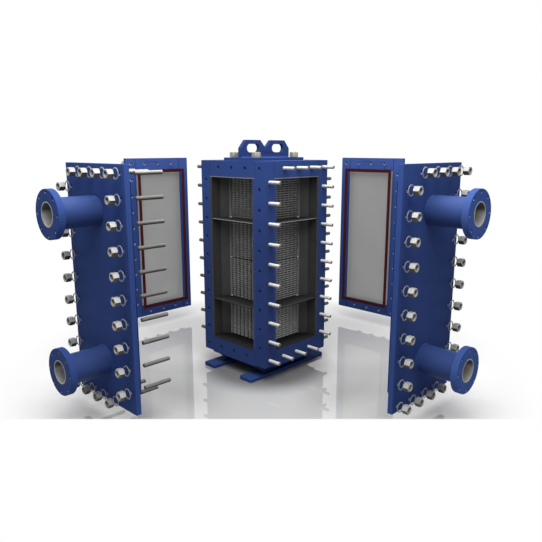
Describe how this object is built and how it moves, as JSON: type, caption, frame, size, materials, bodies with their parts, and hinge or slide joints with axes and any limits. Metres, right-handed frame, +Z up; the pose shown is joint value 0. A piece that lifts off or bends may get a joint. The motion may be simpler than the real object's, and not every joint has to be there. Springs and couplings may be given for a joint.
{
  "type": "welded plate heat exchanger",
  "caption": "Block-shaped welded plate heat exchanger with its bolted side covers drawn off, showing the corrugated plate pack, studs, gaskets and flanged nozzles.",
  "frame": {"origin": "on the floor, under the middle of the core, halfway between the two foot bars", "axes": "+Z up; the front side with two nozzles faces -Y and the left side with two nozzles faces -X"},
  "size_m": [3.726, 3.726, 2.064],
  "materials": {
    "blue_paint": "satin",
    "pack_steel": "satin",
    "lining_steel": "satin",
    "stud_steel": "satin",
    "screw_zinc": "satin",
    "gasket_red": "matte"
  },
  "bodies": {
    "root": {"column_front_left": "blue_paint", "column_front_right": "blue_paint", "column_back_right": "blue_paint", "column_back_left": "blue_paint", "top_head": "blue_paint", "bottom_head": "blue_paint", "plate_pack_pass_1": "pack_steel", "plate_pack_pass_2": "pack_steel", "plate_pack_pass_3": "pack_steel", "plate_pack_pass_4": "pack_steel", "corner_liner_front_left": "lining_steel", "corner_liner_front_right": "lining_steel", "corner_liner_back_right": "lining_steel", "corner_liner_back_left": "lining_steel", "top_head_lining": "lining_steel", "bottom_head_lining": "lining_steel", "baffles_front": "lining_steel", "baffles_left": "lining_steel", "baffle_back": "lining_steel", "baffle_right": "lining_steel", "cover_front": "blue_paint", "cover_right": "blue_paint", "cover_back": "blue_paint", "cover_left": "blue_paint", "cover_lining_front": "lining_steel", "cover_lining_right": "lining_steel", "cover_lining_back": "lining_steel", "cover_lining_left": "lining_steel", "gasket_front": "gasket_red", "gasket_right": "gasket_red", "gasket_back": "gasket_red", "gasket_left": "gasket_red", "studs_front": "stud_steel", "studs_right": "stud_steel", "studs_back": "stud_steel", "studs_left": "stud_steel", "nozzle_pipes_front": "blue_paint", "nozzle_pipes_left": "blue_paint", "nozzle_flanges_front": "blue_paint", "nozzle_flanges_left": "blue_paint", "nozzle_tubes_front": "lining_steel", "nozzle_tubes_left": "lining_steel", "lifting_plate": "blue_paint", "lifting_lug": "blue_paint", "lifting_plate_screws": "screw_zinc", "foot_front": "blue_paint", "foot_back": "blue_paint"}
  },
  "joints": []
}
